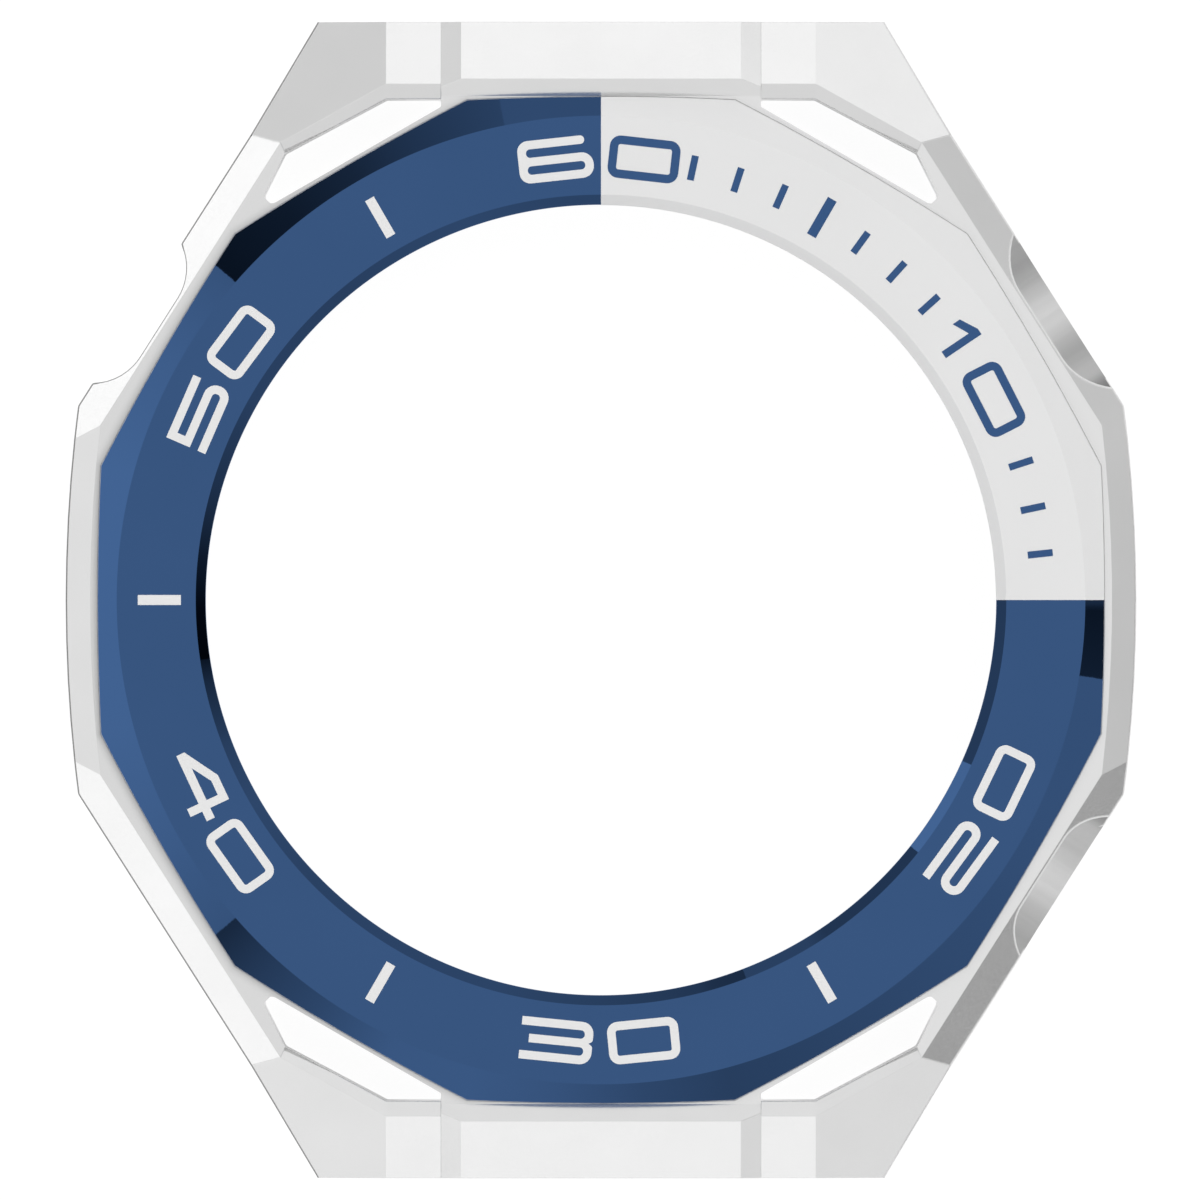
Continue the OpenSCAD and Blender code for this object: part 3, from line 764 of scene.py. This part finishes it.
def five(w):
    x = w / 2 - ROW
    path = [(w / 2, SPINE), (-x, SPINE), (-x, 0), (x, 0), (x, -SPINE), (-w / 2, -SPINE)]
    return [stroke(rounded(path, [0, 0, 0, BOWL, BOWL, 0], closed=False))]


def six(w):
    x, beak = w / 2, w / 2 - 0.33
    outer = rounded_corners([
        (-x, -TOP, HOLLOW + ROW), (x, -TOP, OUTER), (x, ROW, OUTER), (-x + STROKE, ROW, INNER),
        (-x + STROKE, ARM, INNER), (beak, ARM, INNER), (beak, TOP, INNER),
        (-x, TOP, HOLLOW + ROW),
    ])
    x -= STROKE
    return [outer, rounded([(-x, -ARM), (x, -ARM), (x, -ROW), (-x, -ROW)], INNER)]


def placed(outlines, angle, tilt, offset, inward):
    """Moves a digit to its place beside the middle of its numeral."""
    turn = math.radians((180 if inward else 0) - angle)
    out = clock(angle, 1)
    along = Vector((out.y, -out.x))
    way = -1 if inward else 1
    centre = out * (SCALE_R - NUMERAL_SHIFT) + along * way * offset
    spin = Matrix.Rotation(turn + math.radians(tilt), 2)
    return [[centre + spin @ Vector(p) for p in outline] for outline in outlines]


# For each direction the number, then its two digits from the left: form, width, tilt in degrees,
# distance from the numeral's middle and ink
NUMERALS = {
    0: ("60", (six, 3.56, 6.2, -2.16, white_ink), (zero, 3.38, -6.3, 2.05, blue_ink)),
    60: ("10", (one, 1.2, 4.0, -2.39, blue_ink), (zero, 3.38, -3.0, 1.08, blue_ink)),
    120: ("20", (two, 3.42, -6.2, -2.08, white_ink), (zero, 3.4, 4.3, 2.05, white_ink)),
    180: ("30", (three, 3.44, -5.7, -2.12, white_ink), (zero, 3.4, 5.7, 2.03, white_ink)),
    240: ("40", (four, 3.42, -4.9, -1.93, white_ink), (zero, 3.4, 5.3, 1.97, white_ink)),
    300: ("50", (five, 3.24, 6.5, -1.91, white_ink), (zero, 3.38, -6.8, 2.05, white_ink)),
}

# Marks: their directions, length, width and ink
MARKS = (
    ((12, 18, 24, 36, 42, 48, 72, 78, 84), 1.19, 0.333, blue_ink),
    ((30,), 2.0, 0.476, blue_ink),
    ((150, 210, 270, 330), 2.05, 0.476, white_ink),
)

for angle, (number, *digits) in NUMERALS.items():
    for letter, (digit, width, tilt, offset, ink) in zip("ab", digits):
        outlines = placed(digit(width), angle, tilt, offset, inward=90 < angle < 270)
        inked("numeral_%s_%s" % (number, letter), outlines, ink)

for angles, length, width, ink in MARKS:
    for angle in angles:
        inked("tick_%d" % angle, [mark(angle, length, width)], ink)


# Finish of the other solids

FINISHES = {
    "insert_bond": glue, "screen_gasket": black_rubber, "rear_gasket": black_rubber,
    "pocket_liner": liner_rubber, "rear_ring": turned, "case_screws": turned,
    "upper_pusher_head": polished, "lower_pusher_head": polished,
}
for node, solid in frame["nodes"].items():
    if node.endswith("_seal"):
        finish = black_rubber
    elif node.endswith(("_spring", "_clip")):
        finish = wire
    elif node.startswith("bar_"):
        finish = drawn
    else:
        finish = FINISHES.get(node, satin)
    paint(solid.data, finish)


# Springs: pieces of their own, for the pushers' coils and for each half of a spring bar's spring


def spring_part(node, name, side=0.0):
    """Stands for a spring, or for its half on one side of the middle."""
    mesh = frame["nodes"][node].data.copy()
    if side:
        bm = bmesh.new()
        bm.from_mesh(mesh)
        beyond = [f for f in bm.faces if f.calc_center_median().x * side < 0]
        bmesh.ops.delete(bm, geom=beyond, context="FACES")
        bm.to_mesh(mesh)
        bm.free()
    paint(mesh, wire)
    return case_piece(name, mesh, node)


def squeeze(piece):
    """Gives a spring's piece a mesh of its own."""
    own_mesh(piece)


for joint in frame["joints"]:
    away = -Vector(joint["axis"])
    if joint["name"].endswith("_press"):
        node = joint["name"].replace("press", "pusher_spring")
        squeeze(spring_part(node, node + "_coil"))
    else:
        bar, side, _ = joint["name"].rsplit("_", 2)
        squeeze(spring_part(bar + "_spring", bar + "_spring_" + side, away.x))


# Light: a round studio whose walls differ in brightness with direction and height

CEILING = 0.76

# Each belt: where it begins and is full, in degrees from overhead, then its brightness at
# directions in degrees anticlockwise from 3 o'clock. Where two directions are the same, it jumps
BELTS = (
    (22, 32, (
        (-180, 0.81), (-108, 0.72), (-90, 0.74), (-72, 0.82), (0, 0.55), (72, 0.90), (90, 0.83),
        (108, 0.91), (180, 0.81),
    )),
    (46, 49, (
        (-180, 1.03), (-165, 1.00), (-150, 0.86), (-139, 0.70), (-139, 0.17), (-132, 0.35),
        (-125, 0.50), (-115, 0.78), (-105, 0.81), (-95, 0.70), (-85, 0.51), (-75, 0.40),
        (-65, 0.45), (-45, 0.56), (-25, 0.65), (-9, 0.65), (-9, 0.10), (-1, 0.06), (2, 0.6),
        (45, 0.65), (85, 0.56), (101.5, 0.55), (101.5, 0.42), (112, 0.27), (120, 0.145),
        (129, 0.08), (139, 0.05), (139, 0.70), (150, 0.90), (165, 1.04), (180, 1.03),
    )),
    (54.5, 57, (
        (-180, 1.15), (-150, 1.16), (-120, 1.10), (-90, 1.05), (-60, 0.75), (-30, 0.205),
        (0, 0.39), (30, 0.505), (60, 0.90), (90, 1.10), (120, 1.15), (150, 1.24), (180, 1.20),
    )),
    (64, 68, (
        (-180, 0.60), (-125, 0.88), (-90, 1.00), (-55, 0.85), (0, 0.80), (55, 1.03), (90, 1.00),
        (125, 0.66), (180, 0.60),
    )),
    (75, 78, (
        (-180, 0.33), (-125, 0.45), (-85, 0.46), (-70, 0.51), (-50, 0.40), (-30, 0.41),
        (-15, 0.22), (-6, 0.08), (1, 0.02), (8.5, 0.01), (8.5, 0.06), (12, 0.18), (15, 0.24),
        (19, 0.33), (21, 0.40), (30, 0.51), (45, 0.44), (75, 0.48), (90, 0.41), (104, 0.30),
        (106, 0.24), (111, 0.20), (111, 0.43), (121, 0.41), (124, 0.29), (141.5, 0.28),
        (141.5, 1.07), (156, 1.00), (156, 0.33), (180, 0.33),
    )),
    (83, 86, (
        (-180, 0.20), (-160, 0.60), (-144, 1.00), (-70, 1.00), (-36, 0.80), (0, 1.00),
        (110, 1.00), (144, 0.67), (160, 0.45), (180, 0.20),
    )),
)

# A ramp's colours stop at 1, so it holds the brightness divided by this
RAMP_TOP = 2.0

# Round soft box near the ceiling, which no metal mirrors: direction, angle from overhead, radius
# and half the width of its edge in degrees, and brightness
BOX_TURN = math.radians(45)
BOX_TILT = math.radians(20)
BOX_RADIUS = 9
BOX_EDGE = 3
BOX_LEVEL = 4.5


def in_degrees(tree, angle):
    return math_node(tree, "MULTIPLY", angle, 180 / math.pi)


def step_up(tree, value, low, high):
    return map_range(tree, value, low, high, kind="SMOOTHSTEP")


def graded(tree, turn, levels):
    """Brightness over one stretch of directions."""
    first, last = levels[0][0], levels[-1][0]
    stops = [((angle - first) / (last - first), level / RAMP_TOP) for angle, level in levels]
    ramp = grey_ramp(tree, map_range(tree, turn, first, last), stops)
    return math_node(tree, "MULTIPLY", ramp, RAMP_TOP)


def belt(tree, turn, levels):
    """Brightness by direction, in stretches that begin at the jumps."""
    starts = [0] + [i for i in range(1, len(levels)) if levels[i][0] == levels[i - 1][0]]
    ends = starts[1:] + [len(levels)]
    result, *others = (graded(tree, turn, levels[i:j]) for i, j in zip(starts, ends))
    for start, other in zip(starts[1:], others):
        beyond = math_node(tree, "GREATER_THAN", turn, levels[start][0])
        result = mixed(tree, beyond, result, other)
    return result


def light_studio():
    """The world: the studio for what the case reflects and is lit by, and plain white behind."""
    world = bpy.data.worlds.new("studio")
    bpy.context.scene.world = world
    world.use_nodes = True
    tree = world.node_tree
    tree.nodes.clear()
    way = add(tree, "ShaderNodeTexCoord").outputs["Generated"]
    rays = add(tree, "ShaderNodeLightPath").outputs
    x, y, z = parts(tree, way)
    turn = in_degrees(tree, math_node(tree, "ARCTAN2", y, x))
    tilt = in_degrees(tree, math_node(tree, "ARCCOSINE", z))
    level = CEILING
    for low, high, levels in BELTS:
        level = mixed(tree, step_up(tree, tilt, low, high), level, belt(tree, turn, levels))

    aim = (math.sin(BOX_TILT) * math.cos(BOX_TURN), math.sin(BOX_TILT) * math.sin(BOX_TURN),
           math.cos(BOX_TILT))
    off = in_degrees(tree, math_node(tree, "ARCCOSINE", vector_math(tree, "DOT_PRODUCT", way, aim)))
    edge = step_up(tree, off, BOX_RADIUS - BOX_EDGE, BOX_RADIUS + BOX_EDGE)
    box = math_node(tree, "SUBTRACT", 1.0, edge)
    unmirrored = math_node(tree, "SUBTRACT", 1.0, rays["Is Glossy Ray"])
    box = math_node(tree, "MULTIPLY", math_node(tree, "MULTIPLY", box, unmirrored), BOX_LEVEL)
    level = math_node(tree, "ADD", level, box)

    studio = add(tree, "ShaderNodeBackground", Color=(1, 1, 1), Strength=level)
    backdrop = add(tree, "ShaderNodeBackground", Color=(1, 1, 1), Strength=1.0)
    seen = chosen(tree, rays["Is Camera Ray"], studio, backdrop)
    add(tree, "ShaderNodeOutputWorld", Surface=seen)


light_studio()


# Floor: pale, shown white, and keeping the case's shadow

# Radius, sides, how far it lies below the case, tone and roughness
FLOOR_R = 500.0
FLOOR_SIDES = 96
FLOOR_DROP = 0.02
FLOOR_TONE = 0.86
FLOOR_ROUGH = 0.7

# Brightness of its glow, and the glow's share where it is seen, and where metal mirrors it beyond
# the case's outline. The mirrored share changes over between the two radii
GLOW_LEVEL = 1.1
FLOOR_GLOW = 0.87
MIRRORED_GLOW = 0.2
INSIDE_R = (24.5, 26.0)


def pale_paint():
    """Material of the floor."""
    material, tree, shader = node_tree("pale_floor")
    settle(tree, shader, Base_Color=grey(FLOOR_TONE), Roughness=FLOOR_ROUGH)
    glow = add(tree, "ShaderNodeEmission", Color=(1, 1, 1), Strength=GLOW_LEVEL)
    rays = add(tree, "ShaderNodeLightPath").outputs
    out = vector_math(tree, "LENGTH", add(tree, "ShaderNodeTexCoord").outputs["Object"])
    share = map_range(tree, out, INSIDE_R[0] * MM, INSIDE_R[1] * MM, FLOOR_GLOW, MIRRORED_GLOW)
    mirrored = math_node(tree, "MULTIPLY", rays["Is Glossy Ray"], share)
    direct = math_node(tree, "MULTIPLY", rays["Is Camera Ray"], FLOOR_GLOW)
    seen = chosen(tree, math_node(tree, "ADD", mirrored, direct), shader, glow)
    settle(tree, tree.nodes["Material Output"], Surface=seen)
    return material


rim = []
for i in range(FLOOR_SIDES):
    a = math.tau * i / FLOOR_SIDES
    rim.append((FLOOR_R * MM * math.cos(a), FLOOR_R * MM * math.sin(a), -FLOOR_DROP * MM))
floor_mesh = bpy.data.meshes.new("floor")
floor_mesh.from_pydata(rim, [], [tuple(range(FLOOR_SIDES))])
paint(floor_mesh, pale_paint())
floor = show("floor", floor_mesh)


# Camera: straight over the face, far away behind a long lens

# The photograph's size and scale, and the case's middle in it. Then the camera's distance and
# reach, in metres
PIXELS = 1200
PIXELS_PER_MM = 21.0
CENTRE_PX = (601.0, 600.0)
DISTANCE = 2.4
CLIP_END = 20
FRAME_WIDTH = PIXELS / PIXELS_PER_MM * MM

camera = show("camera", bpy.data.cameras.new("camera"))
camera.location = ((PIXELS / 2 - CENTRE_PX[0]) / PIXELS_PER_MM * MM,
                   (CENTRE_PX[1] - PIXELS / 2) / PIXELS_PER_MM * MM,
                   RIM_Z * MM + DISTANCE)
camera.data.lens = camera.data.sensor_width * DISTANCE / FRAME_WIDTH
camera.data.clip_end = CLIP_END
bpy.context.scene.camera = camera
bpy.context.scene.view_settings.view_transform = "Standard"
